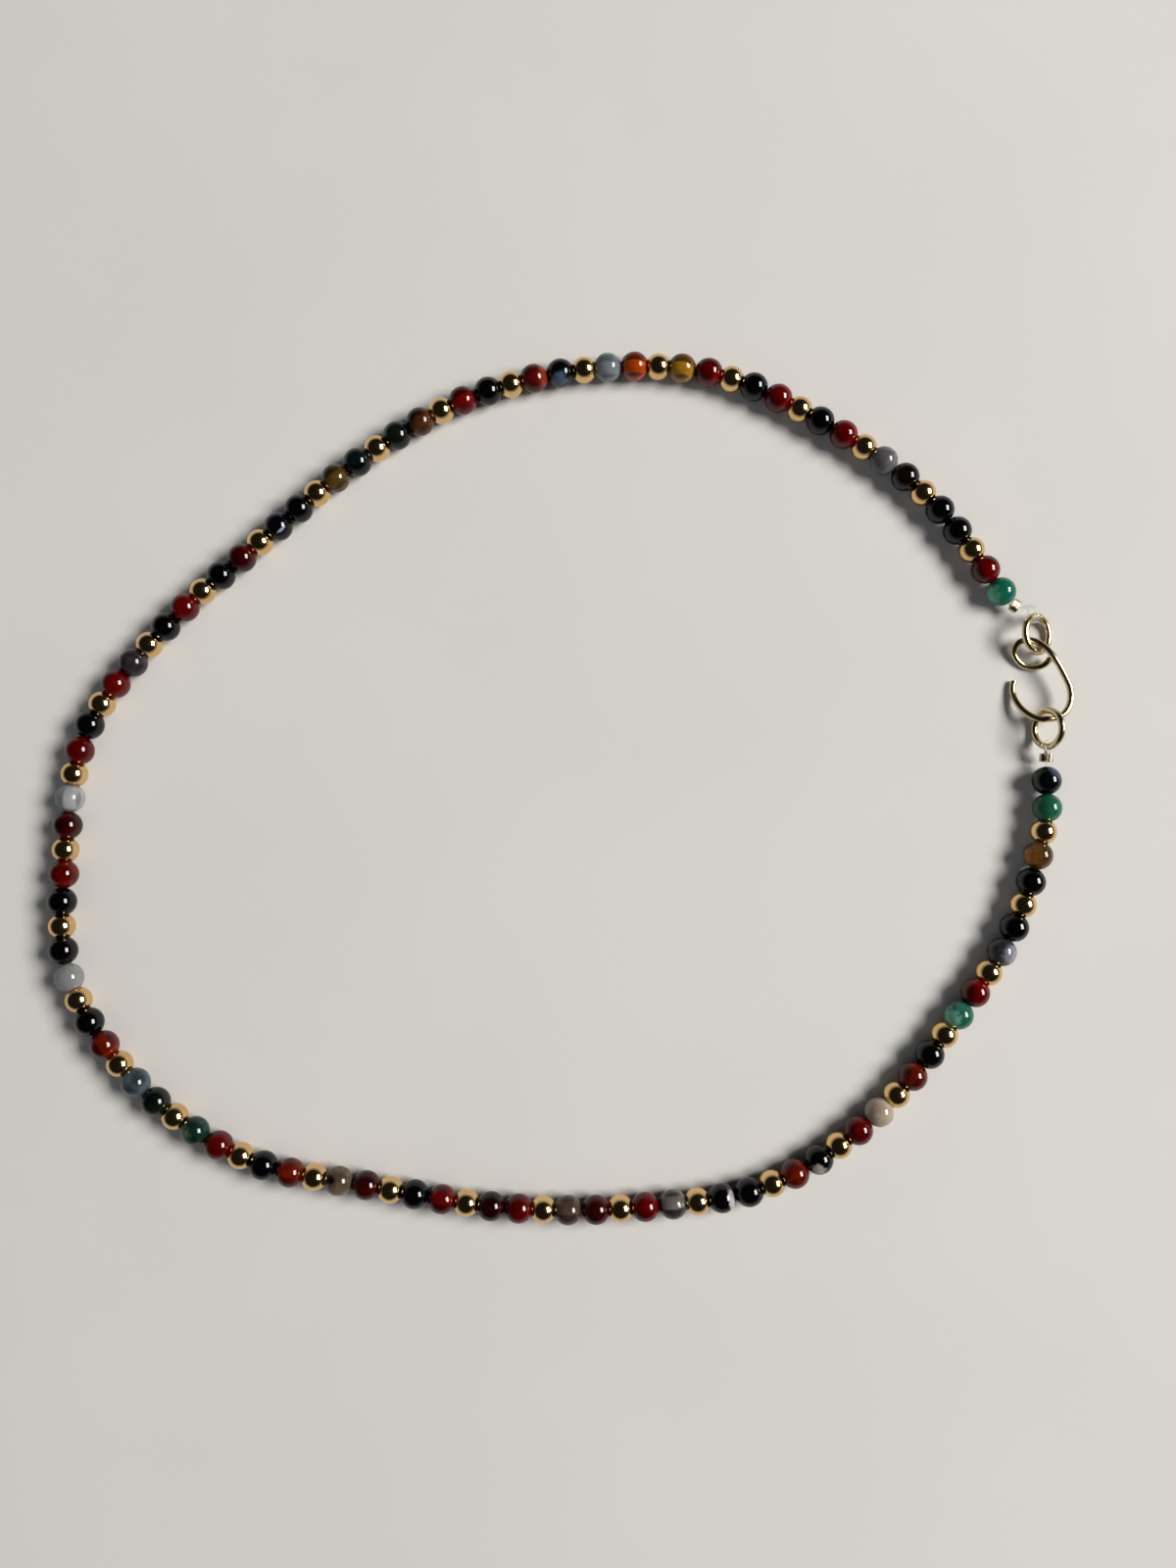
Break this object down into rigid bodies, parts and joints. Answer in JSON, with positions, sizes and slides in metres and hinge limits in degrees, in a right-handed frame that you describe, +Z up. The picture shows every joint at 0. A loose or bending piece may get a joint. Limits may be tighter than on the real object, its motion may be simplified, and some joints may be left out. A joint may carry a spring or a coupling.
{
  "type": "beaded necklace",
  "caption": "Loop of round agate and gold beads on clear line, laid flat, closed by a wire hook through two jump rings.",
  "frame": {"origin": "on the surface that the necklace lies on, under the middle of its box", "axes": "+X along the loop's longer way, towards the clasp; +Y across it, towards the upper end of the string; +Z up from the surface"},
  "size_m": [0.1426, 0.1216, 0.0054],
  "materials": {
    "agate": "polished",
    "gold_wire": "polished",
    "crimp_metal": "polished",
    "clear_line": "clear"
  },
  "bodies": {
    "root": {"bead_string_upper": "agate", "bead_string_lower": "agate", "line_upper": "clear_line", "line_lower": "clear_line", "crimp_upper": "crimp_metal", "crimp_lower": "crimp_metal", "ring_upper": "gold_wire", "ring_lower": "gold_wire", "hook": "gold_wire"}
  },
  "joints": []
}
